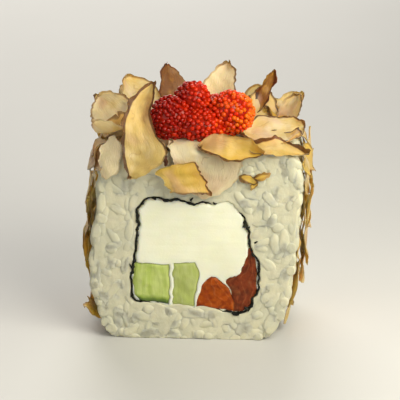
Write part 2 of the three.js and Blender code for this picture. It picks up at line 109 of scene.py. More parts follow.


# The large shavings on top. "tone" runs from pale at 0 to brown at 1.8. "rim" is how dark the edges are, more
# so on one side by "rim_lean". The stain-and-shade value is how dark the roe makes a shaving near it: partly
# its juice soaking in, partly painted shade.
TOP_SHAVINGS = {
    # The petal's part beside the roe is darkened: partly roe stain, partly painted shade.
    "petal_left": flake(
        (-10.4, -12.5, 42.9), (60, 64, 24), 19.4, 7, -40, 0.5, 1.6, rim_lean=0.35, stain=1.5, bow=0.1,
        edges=((0.4, 4.6, 6.2, 3.2, 1.3, 1.2, 0.4), (0.3, 1.6, 2.8, 3.2, 3.3, 2.6, 0.4)),
    ),
    "drape_front": flake((2.2, -12.3, 38.9), (92, 45, 4), 19, 13.4, -90, 0, 0.2, fold=0.22),
    "amber_front": flake(
        (-1.9, -14.8, 34.3), (90, 84, 0), 6.4, 9.6, -12, 0.9, 0.75, rim_lean=-0.4,
        edges=((5, 4.6, 4.2, 3.7, 3.1, 2.6, 2.1), (2.6, 3.2, 3.9, 4.6, 5.4, 3, -1.7)),
    ),
    "lens_front": flake(
        (6.8, -13.6, 39.7), (-6, -4, 48), 12.4, 5.2, -26, 0.9, 1.0, rim_lean=-0.6, bow=0.26, ends=(1.6, 1.5),
    ),
    "lens_right": flake(
        (15.6, -12.2, 39.4), (4, -5, 40), 12, 4.2, -18, 0.6, 1.1, rim_lean=0.4, bow=0.26, ends=(1.6, 1.3),
    ),
    "broad_right": flake((14.6, -6.6, 40.9), (14, 4, 16), 12.6, 9.6, 16, 0.35, 1.0, bow=0.1, ends=(2.2, 3.2)),
    # Its dark brown tone is painted shade: this shaving stands in shadow behind the roe.
    "upright_right": flake(
        (12.8, 5.6, 45), (38, 60, 30), 11, 2.8, 30, 1.6, 1.0, bow=0.2, twist=26, ends=(3, 1.4),
    ),
    # Its dark brown tone is painted shade: this shaving stands in shadow behind the roe.
    "petal_back": flake((-5.8, 6.6, 45.2), (100, 60, 30), 11, 6, -30, 1.75, 0.9, bow=0.1, ends=(2, 2.6)),
    "curl_back": flake(
        (4.4, 6.2, 45.4), (84, 62, -10), 12, 7, -34, -0.2, 0.9, bow=0.12, ends=(2.4, 2), sweep=0.8,
    ),
    "wing_left": flake((-16.2, -2, 42), (118, 26, -34), 13, 8, 30, 0.1, 0.8, bow=0.12, ends=(2, 3), sweep=-1),
    "fold_left": flake((-10.4, 2.6, 43.8), (140, 30, -10), 14, 8, 28, 0.3, 0.7, bow=0.15),
    "drape_back": flake((-9, 12.9, 39), (-86, 45, 0), 15, 9.6, -90, 0.4, 0.8, fold=0.25),
    "drape_right": flake((19.9, 4.6, 38.3), (6, -42, 0), 13, 8, -74, 0.3, 0.7, fold=0.4),
    "drape_left": flake((-18.6, -7.2, 38.3), (186, -42, 0), 12, 8.4, -74, 0.15, 0.6, fold=0.4),
}

# The smaller ones of the bed that stand up most
BED_SHAVINGS = [
    flake((-15.6, -8.4, 40.8), (214, 24, 26), 11, 7, 44, 0.1, 0.7, bow=0.1),
    flake((-16.6, 4.2, 41), (168, 30, -16), 11, 7, 44, 0.4, 0.9),
    flake((-13.2, 8.8, 41.2), (128, 34, 18), 11, 7, 44, 0, 0.7),
    flake((-11.6, 4.6, 41.6), (200, 34, -12), 11, 6.5, 40, 0.7, 1.0),
    flake((-5, 8.8, 41.2), (60, 32, -20), 11, 6.5, 40, 0.2, 0.8),
    flake((2.5, 9, 41.2), (130, 34, 24), 11, 6.5, 44, 0.6, 0.9),
    flake((9.6, 8.8, 41.2), (50, 32, -18), 11, 7, 40, 0.1, 0.7),
    flake((13, 4, 41.4), (110, 34, 10), 12, 7, 40, 0.5, 0.9),
    flake((16.4, 7.4, 41), (24, 28, 22), 11, 6.5, 44, 0.3, 0.8),
    flake((17.6, 1.6, 41.2), (70, 34, -30), 12, 7, 30, 0.2, 0.9),
    flake((16.8, -8.6, 40.4), (-36, 14, 16), 9, 5.5, 40, 0.9, 1.0, bow=0.1),
]

# The large ones on the sides: angle round the slice, y, lift off the rice, turns, length, width, bend, tone
SIDE_SHAVINGS = {
    "side_right_1": (-29, -6.2, 1.2, (-9, 0, 0), 15.5, 8.4, 6, 0.5),
    "side_right_2": (-13, 5.4, 1.2, (13, 0, 0), 18.5, 10, 6, 0.25),
    "side_right_3": (8, -5.2, 2.1, (8, 2, 0), 17.5, 9.4, 12, 0.6),
    "side_right_4": (31, 6, 2.1, (-16, 4, 0), 13.5, 8.4, 14, 0.4),
    "side_right_5": (35, -6.4, 1.2, (24, 4, 0), 11.5, 7.4, 4, 0.3),
    "side_left_1": (206, 5.8, 1.2, (10, 0, 0), 15.5, 8.8, 4, 0.35),
    "side_left_2": (199, -5.4, 1.2, (-12, 0, 0), 18, 9.2, 8, 0.6),
    "side_left_3": (175, 4.6, 2.1, (-7, -2, 0), 18, 9.8, 12, 0.3),
    "side_left_4": (162, -6, 2.1, (14, 3, 0), 15, 7.8, 16, 0.5),
    "side_left_5": (147, 6.4, 1.2, (20, 0, 0), 12, 7.2, 4, 0.2),
}

# Crumbs and small shavings that lie flat on the front and at its upper left corner
FRONT_CRUMBS = [
    flake((10.3, -13.0, 33.6), (0, -24, 76), 3.6, 2.0, 50, 1.1, 0.9),
    flake((12.6, -13.1, 34.1), (0, 16, 100), 3.8, 1.3, -60, 1.1, 1.0),
    flake((11.3, -13.0, 32.6), (10, 60, 84), 2.4, 1.4, 30, 1.0, 0.7),
    flake((-15.9, -13.3, 37.6), (-12, 78, 90), 9, 4.4, 16, -0.1, 0.35),
    flake((-5.9, -13.9, 38.3), (0, -74, 84), 3.8, 0.9, 30, 1.7, 1.4),
    flake((-18.4, -10.2, 37.2), (100, 40, -64), 6.5, 5, 30, 0.2, 0.6),
    flake((-18.9, -5.4, 37.4), (80, 20, -66), 7, 5, 30, 0.5, 0.8),
]


# Loops on the cut face


def spline(knots, first, share):
    """Points on a smooth curve through knots, each a share of the way on from its first knot."""
    a, b, c, d = (knots[(first + k) % len(knots)] for k in (-1, 0, 1, 2))
    t = share[:, None]
    return b + t / 2 * ((c - a) + t * ((2 * a - 5 * b + 4 * c - d) + t * (3 * (b - c) + d - a)))


def smooth_line(knots, steps):
    """An open curve through the knots, with its ends included."""
    knots = np.array(knots, float)
    padded = np.vstack([2 * knots[0] - knots[1], knots, 2 * knots[-1] - knots[-2]])
    place = np.linspace(0, len(knots) - 1, steps)
    first = np.minimum(place.astype(int), len(knots) - 2)
    return spline(padded, first + 1, place - first)


def even_loop(knots, steps):
    """A closed curve through the knots, its points evenly spaced."""
    fine = 20 * len(knots)
    place = np.arange(fine) / fine * len(knots)
    first = place.astype(int)
    loop = spline(np.array(knots, float), first, place - first)
    ends = np.vstack([loop, loop[:1]])
    run = np.concatenate([[0], np.cumsum(np.linalg.norm(np.diff(ends, axis=0), axis=1))])
    wanted = np.arange(steps) / steps * run[-1]
    return np.stack([np.interp(wanted, run, ends[:, k]) for k in (0, 1)], axis=1)


def loop_outward(loop):
    """The outward direction at each point of an anticlockwise loop."""
    along = np.roll(loop, -1, axis=0) - np.roll(loop, 1, axis=0)
    out = np.stack([along[:, 1], -along[:, 0]], axis=1)
    return out / np.linalg.norm(out, axis=1, keepdims=True)


RICE_LOOP = even_loop(RICE_OUTLINE, 360)
RICE_OUT = loop_outward(RICE_LOOP)
SEAWEED_LOOP = even_loop(SEAWEED_LINE, 240)
SEAWEED_OUT = loop_outward(SEAWEED_LOOP)


def beyond(points, loop, out):
    """How far each point lies outside a loop, negative inside, and the outward direction there."""
    gaps = points[:, None, :] - loop[None, :, :]
    nearest = np.argmin((gaps**2).sum(axis=2), axis=1)
    directions = out[nearest]
    return (gaps[np.arange(len(points)), nearest] * directions).sum(axis=1), directions


def reach(loop, angles):
    """How far a loop lies from the middle of the slice at each angle."""
    arms = loop - MIDDLE
    turned = np.arctan2(arms[:, 1], arms[:, 0])
    return np.interp(angles, turned, np.linalg.norm(arms, axis=1), period=2 * math.pi)


def rays(around):
    """Angles spread evenly round the slice, and the directions they point in."""
    angles = np.arange(around) / around * 2 * math.pi
    return angles, np.stack([np.cos(angles), np.sin(angles)], axis=1)


def outward_basis(out):
    """A matrix that turns Z to an outward direction on the cut face, and leaves Y."""
    return np.array([[out[1], 0, out[0]], [0, 1, 0], [-out[0], 0, out[1]]])


def waves(points, size, seed, count=9):
    """Smooth unevenness at each point, about -1 to 1, that changes over about "size" millimetres."""
    draw = np.random.RandomState(seed)
    total = np.zeros(points.shape[:-1])
    for _ in range(count):
        slant = draw.normal(size=points.shape[-1])
        slant *= draw.uniform(0.6, 1.6) * math.pi / size / np.linalg.norm(slant)
        total += np.sin(points @ slant + draw.uniform(0, 2 * math.pi))
    return total / math.sqrt(count)


# Pieces


def placed(name, data):
    """The object of a mesh, a light or a camera."""
    made = bpy.data.objects.new(name, data)
    bpy.context.collection.objects.link(made)
    return made


class Pile:
    """Bodies gathered into one piece: corners, faces, and values kept at the corners."""

    def __init__(self):
        self.corners, self.faces, self.values = [], [], {}
        self.total = 0

    def add(self, corners, faces, **values):
        """Adds a body. Its faces count its own corners, from 0."""
        corners = np.asarray(corners, float).reshape(-1, 3)
        self.corners.append(corners)
        self.join(faces, self.total)
        for name, value in values.items():
            kept = self.values.setdefault(name, [])
            kept.append(np.broadcast_to(np.asarray(value, float).ravel(), (len(corners),)))
        self.total += len(corners)

    def join(self, faces, start=0):
        """Adds faces between corners that are there already, counted from "start"."""
        faces = faces.tolist() if isinstance(faces, np.ndarray) else faces
        self.faces += [[corner + start for corner in face] for face in faces]

    def piece(self, name, slot, finish, *nodes):
        """Makes the mesh, puts it under the root body, and hides the CAD parts of the nodes it stands for."""
        mesh = bpy.data.meshes.new(name)
        mesh.from_pydata((np.vstack(self.corners) * MM).tolist(), [], self.faces)
        mesh.polygons.foreach_set("use_smooth", np.ones(len(self.faces), bool))
        for key, parts in self.values.items():
            kept = mesh.attributes.new(key, "FLOAT", "POINT")
            kept.data.foreach_set("value", np.concatenate(parts).astype(np.float32))
        mesh.update()
        made = placed(name, mesh)
        made.data.materials.append(finish)
        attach(made, "root")
        if nodes:
            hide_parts(*nodes)
        return made


def grid_faces(rows, columns, round_rows=False, round_columns=False):
    """Four-sided faces between the points of a grid, closed on itself either way if asked."""
    i = np.arange(rows if round_rows else rows - 1)
    j = np.arange(columns if round_columns else columns - 1)
    i, j = (side.ravel() for side in np.meshgrid(i, j, indexing="ij"))
    after_i, after_j = (i + 1) % rows, (j + 1) % columns
    corners = [i * columns + j, after_i * columns + j, after_i * columns + after_j, i * columns + after_j]
    return np.stack(corners, axis=1)


def wall(ahead, after):
    """Faces between two closed rows of corners."""
    return np.column_stack([ahead, np.roll(ahead, -1), np.roll(after, -1), after])[:, ::-1]


def ball(around, down):
    """A unit ball with its poles on X: its corners and its faces."""
    tilt = np.linspace(0, math.pi, down + 1)[1:-1]
    tilt, spin = np.meshgrid(tilt, rays(around)[0], indexing="ij")
    rings = np.stack([np.cos(tilt), np.sin(tilt) * np.cos(spin), np.sin(tilt) * np.sin(spin)], axis=-1)
    corners = np.vstack([rings.reshape(-1, 3), [[1, 0, 0], [-1, 0, 0]]])
    count = (down - 1) * around
    faces = grid_faces(down - 1, around, round_columns=True).tolist()
    for j in range(around):
        after = (j + 1) % around
        faces.append([count, j, after])
        faces.append([count + 1, count - around + after, count - around + j])
    return corners, faces


def turn_matrix(spin, lift, roll):
    """Roll about X, then lift of the X end, then spin about Z, in degrees."""
    a, b, c = (math.radians(angle) for angle in (spin, -lift, roll))
    about_z = np.array([[math.cos(a), -math.sin(a), 0], [math.sin(a), math.cos(a), 0], [0, 0, 1]])
    about_y = np.array([[math.cos(b), 0, math.sin(b)], [0, 1, 0], [-math.sin(b), 0, math.cos(b)]])
    about_x = np.array([[1, 0, 0], [0, math.cos(c), -math.sin(c)], [0, math.sin(c), math.cos(c)]])
    return about_z @ about_y @ about_x


def pressed(values, limit, softness, side):
    """Values with what is past a limit squeezed into a thin layer."""
    past = side * (values - limit)
    squeezed = limit + side * softness * (1 - np.exp(-np.maximum(past, 0) / softness))
    return np.where(past > 0, squeezed, values)


# Materials


class Value:
    """A socket of a material. Sums and products of values add Math nodes."""

    def __init__(self, finish, socket):
        self.finish, self.socket = finish, socket

    def math(self, operation, *others):
        inputs = dict(enumerate((self, *others)))
        return self.finish.node("Math", {"operation": operation}, inputs)

    def __add__(self, other):
        return self.math("ADD", other)

    def __sub__(self, other):
        return self.math("SUBTRACT", other)

    def __mul__(self, other):
        return self.math("MULTIPLY", other)

    def __rsub__(self, other):
        return self * -1 + other

    __radd__ = __add__
    __rmul__ = __mul__

    def __abs__(self):
        return self.math("ABSOLUTE")

    def step(self, low, high):
        """0 below one value and 1 above the other, with a smooth change between."""
        inputs = {0: self, 1: low, 2: high}
        return self.finish.node("MapRange", {"interpolation_type": "SMOOTHSTEP"}, inputs)


class Finish:
    """A material. "soft" is how much light spreads in it, and how far red, green and blue do."""

    def __init__(self, name, soft=None, **constants):
        self.material = bpy.data.materials.new(name)
        self.material.use_nodes = True
        self.tree = self.material.node_tree
        self.shader = self.tree.nodes["Principled BSDF"]
        if soft:
            constants.update(Subsurface_Weight=soft[0], Subsurface_Radius=soft[1], Subsurface_Scale=MM)
        for key, value in constants.items():
            self.shader.inputs[key.replace("_", " ")].default_value = value

    def node(self, kind, settings=None, inputs=None, output=0):
        """Adds a node with its settings and inputs, and gives one of its outputs."""
        made = self.tree.nodes.new(f"ShaderNode{kind}")
        for key, value in (settings or {}).items():
            setattr(made, key, value)
        for key, value in (inputs or {}).items():
            self.fill(made.inputs[key], value)
        return Value(self, made.outputs[output])

    def fill(self, socket, value):
        if isinstance(value, Value):
            self.tree.links.new(value.socket, socket)
        elif isinstance(value, tuple) and len(value) == 3 and socket.type == "RGBA":
            socket.default_value = (*value, 1)
        else:
            socket.default_value = value

    def place(self, stretch=(1, 1, 1)):
        """The point on the piece, in millimetres, stretched along each axis."""
        here = self.node("TexCoord", output="Object")
        factors = tuple(1 / MM / s for s in stretch)
        return self.node("VectorMath", {"operation": "MULTIPLY"}, {0: here, 1: factors})

    def kept(self, name):
        """A value kept at the corners of the piece."""
        return self.node("Attribute", {"attribute_name": name}, output="Fac")

    def noise(self, size, detail=2.0, at=None, roughness=0.5):
        """Noise with features of about "size" millimetres, about 0.3 to 0.7."""
        inputs = {"Vector": at or self.place(), "Scale": 1 / size, "Detail": detail, "Roughness": roughness}
        return self.node("TexNoise", None, inputs)

    def mix(self, factor, first, second):
        """One colour shading into another."""
        return self.node("Mix", {"data_type": "RGBA"}, {0: factor, 6: first, 7: second}, output=2)

    def vector(self, x, y, z):
        return self.node("CombineXYZ", None, {0: x, 1: y, 2: z})

    def relief(self, height):
        """A bump whose height is in millimetres."""
        inputs = {"Strength": 1.0, "Distance": MM, "Height": height}
        self.set(Normal=self.node("Bump", None, inputs))

    def set(self, **values):
        for key, value in values.items():
            self.fill(self.shader.inputs[key.replace("_", " ")], value)


def rice_finish():
    rice = Finish("cooked_rice", (0.4, (0.5, 0.42, 0.25)), Specular_IOR_Level=0.4, Coat_Roughness=0.2)
    warm, cool, glassy = (0.71, 0.68, 0.495), (0.66, 0.645, 0.48), (0.60, 0.595, 0.445)
    body = rice.mix(rice.noise(5.0).step(0.35, 0.65), cool, warm)
    body = rice.mix(rice.kept("tone").step(0.4, 1.0) * 0.5, body, glassy)
    body = rice.mix(rice.noise(0.9, 3).step(0.5, 0.8) * 0.3, body, glassy)
    rice.set(
        Base_Color=body, Roughness=rice.noise(1.2) * 0.3 + 0.35,
        Coat_Weight=rice.noise(2.0).step(0.45, 0.7) * 0.2,
    )
    rice.relief(rice.noise(0.9, 3) * 0.10 + rice.noise(0.25) * 0.025)
    return rice.material


def seaweed_finish():
    weed = Finish("seaweed", Specular_IOR_Level=0.25)
    colour = weed.mix(weed.noise(1.5, 3).step(0.4, 0.7), (0.004, 0.005, 0.003), (0.018, 0.020, 0.009))
    weed.set(Base_Color=colour, Roughness=weed.noise(1.0) * 0.4 + 0.35)
    weed.relief(weed.noise(0.4, 3) * 0.12)
    return weed.material


def cheese_finish():
    cheese = Finish("soft_cheese", (0.5, (1.8, 1.5, 0.8)), Specular_IOR_Level=0.4)
    colour = cheese.mix(cheese.noise(4.0).step(0.3, 0.7), (0.94, 0.95, 0.71), (0.97, 0.98, 0.76))
    drag = cheese.noise(0.7, 3, cheese.place((7, 1, 1)))
    cheese.set(Base_Color=colour, Roughness=cheese.noise(2.5) * 0.3 + 0.3)
    cheese.relief(drag * 0.05 + cheese.noise(0.35) * 0.03)
    return cheese.material


def cucumber_finish(name, flesh, watery):
    stick = Finish(name, (0.5, (0.9, 1.2, 0.4)), Specular_IOR_Level=0.5, Coat_Roughness=0.12)
    fibres = stick.noise(0.8, 3, stick.place((1, 1, 5)))
    colour = stick.mix(fibres.step(0.35, 0.7), flesh, watery)
    near_skin = stick.kept("skin") + (stick.noise(1.2, 3) - 0.5) * 0.8
    colour = stick.mix(near_skin.step(-1.7, -0.9), colour, (0.27, 0.38, 0.05))
    colour = stick.mix(near_skin.step(-1.1, -0.6), colour, (0.11, 0.19, 0.018))
    colour = stick.mix(near_skin.step(-0.6, -0.1), colour, (0.035, 0.07, 0.006))
    stick.set(
        Base_Color=colour, Roughness=fibres * 0.2 + 0.25,
        Coat_Weight=stick.noise(1.5).step(0.4, 0.6) * 0.25,
    )
    stick.relief(fibres * 0.12 + stick.noise(0.3) * 0.03)
    return stick.material


def salmon_finish(name, light, dark):
    fish = Finish(name, (0.3, (1.2, 0.3, 0.1)), Specular_IOR_Level=0.16, Coat_Roughness=0.15)
    layers = fish.kept("layers") * 3.1 + fish.noise(3.0, 1) * 1.8
    fat = abs(layers.math("FRACT") - 0.5).step(0.30, 0.5)
    colour = fish.mix(fish.noise(1.1, 3).step(0.35, 0.68), light, dark)
    colour = fish.mix(fat * fish.noise(1.4).step(0.35, 0.6) * 0.16, colour, (0.62, 0.25, 0.08))
    edge = fish.kept("skin").step(-0.35, -0.05) * fish.noise(1.5, 2).step(0.4, 0.6)
    colour = fish.mix(edge * 0.45, colour, (0.62, 0.25, 0.08))
    fish.set(Base_Color=colour, Roughness=fish.noise(0.8) * 0.25 + 0.25, Coat_Weight=fish.noise(1.5) * 0.1)
    fish.relief(fish.noise(0.7, 3) * 0.14 - fat * 0.05)
    return fish.material


def roe_finish():
    roe = Finish("roe", (0.6, (1.3, 0.25, 0.06)), Specular_IOR_Level=0.22, Coat_Roughness=0.08)
    tone = roe.kept("tone")
    # Dark red eggs on the left shading to orange on the right: partly the roe's own colour, partly painted
    # shade on the left and painted light on the right.
    colour = roe.mix(tone.step(0.0, 0.6), (0.29, 0.005, 0.001), (0.76, 0.034, 0.002))
    colour = roe.mix(tone.step(0.55, 1.0), colour, (0.98, 0.19, 0.005))
    colour = roe.mix(roe.noise(3.0).step(0.35, 0.65) * 0.35, colour, (0.34, 0.006, 0.001))
    roe.set(Base_Color=colour, Roughness=roe.noise(0.6) * 0.12 + 0.10, Coat_Weight=roe.noise(2.0) * 0.3)
    roe.relief(roe.noise(0.35) * 0.03)
    return roe.material


def shaving_finish():
    """Dried-fish shavings: pale to amber and fibrous, with edges browned by smoke."""
    fish = Finish("dried_fish_shaving", (0.5, (1.1, 0.7, 0.35)), Specular_IOR_Level=0.45, Coat_Roughness=0.3)
    along, across = fish.kept("along"), fish.kept("across")
    tone, rim, seed = fish.kept("tone"), fish.kept("rim"), fish.kept("seed")
    sheet = fish.vector(along * 4, across * 4, seed * 7)
    fibres = fish.noise(0.45, 4, fish.vector(along * 2.2, across * 9, seed * 7), 0.6)
    cloud = fish.noise(2.6, 2, sheet)
    shade = tone + (cloud - 0.5) * 1.1 + (fibres - 0.5) * 0.35
    pale, cream = (0.91, 0.67, 0.40), (0.74, 0.48, 0.17)
    amber, brown = (0.68, 0.40, 0.06), (0.16, 0.065, 0.018)
    colour = fish.mix(shade.step(0.0, 0.5), pale, cream)
    colour = fish.mix(shade.step(0.45, 1.1), colour, amber)
    colour = fish.mix(shade.step(1.1, 1.8), colour, brown)
    patch = fish.noise(3.0, 1, fish.vector(along * 2.4, across * 2.4, seed * 11))
    colour = fish.mix(patch.step(0.52, 0.68) * 0.5, colour, (0.70, 0.38, 0.24))
    colour = fish.mix(patch.step(0.66, 0.78) * 0.5, colour, (0.24, 0.10, 0.06))
    # Red-brown darkening near the roe: partly stain from its juice, partly painted shade.
    stain = fish.kept("stain") + (fish.noise(1.6, 2, sheet) - 0.5) * 0.6
    colour = fish.mix(stain.step(0.5, 1.15) * 0.85, colour, (0.13, 0.045, 0.025))
    lines = (abs(across * 1.6 + cloud * 2.2 + along * 0.3).math("FRACT") - 0.5)
    lines = abs(lines).step(0.42, 0.5) * fish.noise(2.0, 1, sheet).step(0.5, 0.65)
    colour = fish.mix(lines * 0.35, colour, (0.40, 0.17, 0.04))
    wander = (fish.noise(1.1, 3, sheet) - 0.5) * 0.12
    smoke = fish.noise(4.0, 1, fish.vector(along * 2, across * 2, seed * 5)) + rim * 0.25
    near_edge = fish.kept("edge") + wander + rim * 0.12
    edge = near_edge.step(-0.40, -0.10) * rim * smoke.step(0.52, 0.68)
    colour = fish.mix(edge.math("MINIMUM", 0.95), colour, (0.04, 0.011, 0.003))
    fish.set(
        Base_Color=colour, Roughness=fibres * 0.3 + 0.3,
        Coat_Weight=fish.noise(2.0, 1, sheet).step(0.45, 0.7) * 0.15,
    )
    fish.relief(fibres * 0.14 + cloud * 0.15)
    return fish.material


def floor_finish():
    floor = Finish("pale_floor")
    floor.set(Base_Color=floor.mix(floor.noise(40.0), (0.60, 0.60, 0.59), (0.63, 0.63, 0.62)), Roughness=0.6)
    return floor.material


# Rice


def make_grains(name, finish, unit, faces, places, draw):
    """A piece with a grain at each place, which is a centre, a matrix of its axes and a size."""
    pile = Pile()
    girth = np.sqrt(np.maximum(1e-9, 1 - unit[:, 0] ** 2))
    fuller = np.where(girth > 0.02, girth**0.75 / girth, 1.0)[:, None]
    shape = np.column_stack([unit[:, :1], unit[:, 1:] * fuller])
    for centre, axes, size in places:
        length, width, thickness = (full / 2 * draw.uniform(0.88, 1.1) for full in GRAIN)
        length *= size
        curve = draw.uniform(-0.16, 0.16)
        taper = 1 - draw.uniform(0, 0.2) * shape[:, 0]
        local = np.column_stack([
            shape[:, 0] * length,
            shape[:, 1] * width * taper + curve * length * (shape[:, 0] ** 2 - 0.35),
            shape[:, 2] * thickness * taper,
        ])
        corners = local @ axes.T + centre
        corners += 0.05 * waves(corners, 1.5, draw.randint(0, 10**6), 3)[:, None]
        pile.add(trimmed(corners), faces, tone=draw.random())
    pile.piece(f"rice_{name}_grains", "rice", finish, "rice_ring")


def trimmed(corners):
    """Corners kept to the two cut faces and the flat underside, and out of the seaweed's ring."""
    corners = corners.copy()
    flat = corners[:, [0, 2]]
    past, out = beyond(flat, SEAWEED_LOOP, SEAWEED_OUT)
    push = np.maximum(0, 0.28 - 0.35 * smeared(flat) + sheet_wander(flat) - past)
    corners[:, [0, 2]] += out * push[:, None]
    wear = 0.14 * waves(corners[:, [0, 2]], 4.0, 5)
    for side in (-1, 1):
        corners[:, 1] = pressed(corners[:, 1], side * (BACK - wear), 0.08, side)
    corners[:, 2] = pressed(corners[:, 2], 0.2, 0.15, -1)
    return corners


def spread(candidates, closest):
    """The numbers of those points that keep a distance from all points taken before them."""
    taken = []
    for k, point in enumerate(candidates):
        if not taken or ((candidates[taken] - point) ** 2).sum(axis=1).min() > closest**2:
            taken.append(k)
    return taken


def cut_grain_places(side, draw):
    """Grains on a cut face: along the layers near the seaweed and the outside, every way between."""
    candidates = np.array([(draw.uniform(-21, 21), draw.uniform(0.6, 39)) for _ in range(7000)])
    past_weed, weed_out = beyond(candidates, SEAWEED_LOOP, SEAWEED_OUT)
    past_rice, rice_out = beyond(candidates, RICE_LOOP, RICE_OUT)
    fits = np.nonzero((past_weed > 1.1) & (past_rice < -0.7))[0]
    places = []
    for k in fits[spread(candidates[fits], CUT_GRAIN_SPACING)]:
        here = candidates[k]
        near = min(past_weed[k], -past_rice[k])
        out = weed_out[k] if past_weed[k] < -past_rice[k] else rice_out[k]
        loose = 18 if near < 2 else 90
        angle = math.degrees(math.atan2(out[0], -out[1])) + draw.uniform(-loose, loose)
        flat = turn_matrix(angle, draw.uniform(-16, 16), draw.uniform(-30, 30))
        axes = np.array([flat[0], -flat[2] * side, flat[1]])
        depth = draw.uniform(0.6, 1.15)
        size = draw.uniform(0.45, 0.8) if draw.random() < 0.2 else draw.uniform(0.85, 1.08)
        places.append((np.array([here[0], side * (BACK - depth), here[1]]), axes, size))
    return places


def outside_grain_places(draw):
    """Grains on the outside of the roll, all round."""
    steps = len(RICE_LOOP)
    run = np.linalg.norm(np.roll(RICE_LOOP, -1, axis=0) - RICE_LOOP, axis=1).sum()
    reach_y = BACK - 0.6
    candidates = np.array([(draw.uniform(0, run), draw.uniform(-reach_y, reach_y)) for _ in range(9000)])
    places = []
    for along, y in candidates[spread(candidates, OUTSIDE_GRAIN_SPACING)]:
        index = int(along / run * steps) % steps
        out = RICE_OUT[index]
        centre = RICE_LOOP[index] - out * draw.uniform(0.5, 1.0)
        flat = turn_matrix(draw.uniform(0, 180), draw.uniform(-14, 14), draw.uniform(-25, 25))
        centre = np.array([centre[0], y, centre[1]])
        places.append((centre, outward_basis(out) @ flat, draw.uniform(0.75, 1.05)))
    return places


def make_rice(finish):
    draw = random.Random(11)
    for name, side in (("front", -1), ("back", 1)):
        make_grains(name, finish, *ball(14, 10), cut_grain_places(side, draw), draw)
    make_grains("outer", finish, *ball(10, 8), outside_grain_places(draw), draw)
    make_rice_core(finish)


def ring_section(steps_across, steps_deep, inset):
    """The closed outline of a ring's section: shares of the way out, and places from front to back."""
    across = np.linspace(0, 1, steps_across)
    deep = np.linspace(FRONT + inset, BACK - inset, steps_deep)
    shares = np.concatenate([across, np.ones(steps_deep - 2), across[::-1], np.zeros(steps_deep - 2)])
    places = np.concatenate([
        np.full(steps_across, deep[0]), deep[1:-1], np.full(steps_across, deep[-1]), deep[1:-1][::-1],
    ])
    return shares, places


def make_rice_core(finish):
    """The starch-filled rice just behind the grains that show."""
    around, inset = 320, 0.04
    angles, arms = rays(around)
    inner = reach(SEAWEED_LOOP, angles)
    edge = MIDDLE + arms * inner[:, None]
    inner += 0.28 + sheet_wander(edge) - 0.35 * smeared(edge)
    outer = reach(RICE_LOOP, angles) - 0.45
    shares, places = ring_section(30, 44, inset)
    radius = inner[:, None] + (outer - inner)[:, None] * shares[None, :]
    x, z = (MIDDLE[k] + radius * arms[:, k:k + 1] for k in (0, 1))
    y = np.broadcast_to(places, x.shape)
    corners = np.stack([x, y, z], axis=-1)
    lump = 0.08 * waves(corners, 1.6, 3)
    on_face = (np.abs(np.abs(y) - (BACK - inset)) < 1e-6) & ((shares > 0) & (shares < 1))[None, :]
    on_wall = (shares == 1)[None, :] & ~on_face
    corners[..., 1] += np.where(on_face, lump, 0)
    corners[..., 0] += np.where(on_wall, lump * arms[:, :1], 0)
    corners[..., 2] = np.maximum(corners[..., 2] + np.where(on_wall, lump * arms[:, 1:], 0), 0.1)
    pile = Pile()
    faces = grid_faces(around, len(shares), round_rows=True, round_columns=True)
    pile.add(corners, faces[:, ::-1], tone=0.5)
    pile.piece("rice_core", "rice", finish, "rice_ring")


# Seaweed


def sheet_wander(points):
    """How far the sheet is pushed out of its line, in millimetres."""
    return 0.25 * waves(points, 1.9, 21) + 0.10 * waves(points, 0.8, 22)


def smeared(points):
    """How much cheese and rice close over the cut sheet, 0 to 1."""
    corner = np.exp(-((points[:, 0] - 6.6) ** 2 / 9 + (points[:, 1] - 28.2) ** 2 / 5))
    bottom = np.exp(-((points[:, 0] + 2.5) ** 2 / 60 + (points[:, 1] - 6.6) ** 2 / 3))
    return np.clip(1.3 * corner + bottom, 0, 1)


def make_seaweed(finish):
    """One turn of sheet, uneven in thickness and a little torn by the knife."""
    steps = 900
    loop = even_loop(SEAWEED_LINE, steps)
    out = loop_outward(loop)
    wander = sheet_wander(loop)
    hidden = smeared(loop)
    half = 0.16 + 0.12 * waves(loop, 3.2, 23) + 0.12 * waves(loop, 0.8, 24) + 0.08 * waves(loop, 0.4, 26)
    half = np.clip(half, 0.03, 0.45)
    inside = np.linspace(FRONT + 2, BACK - 2, 8)
    deep = np.concatenate([[FRONT, FRONT + 0.3, FRONT + 1], inside, [BACK - 1, BACK - 0.3, BACK]])
    tear = np.clip(0.12 + 0.14 * waves(loop, 1.1, 25), -0.05, 0.30) - 1.2 * hidden
    rows = []
    for side in (1, -1):
        for y in deep[::side]:
            end = abs(y) == BACK
            edge = loop + out * (wander + side * half * (0.7 if end else 1.0))[:, None]
            proud = tear if end else -hidden * (abs(y) > BACK - 2)
            depth = y + np.sign(y) * proud
            rows.append(np.stack([edge[:, 0], depth, edge[:, 1]], axis=1))
    pile = Pile()
    pile.add(np.stack(rows), grid_faces(len(rows), steps, round_rows=True, round_columns=True))
    shreds(pile)
    pile.piece("seaweed_turn", "seaweed", finish, "seaweed_sheet")


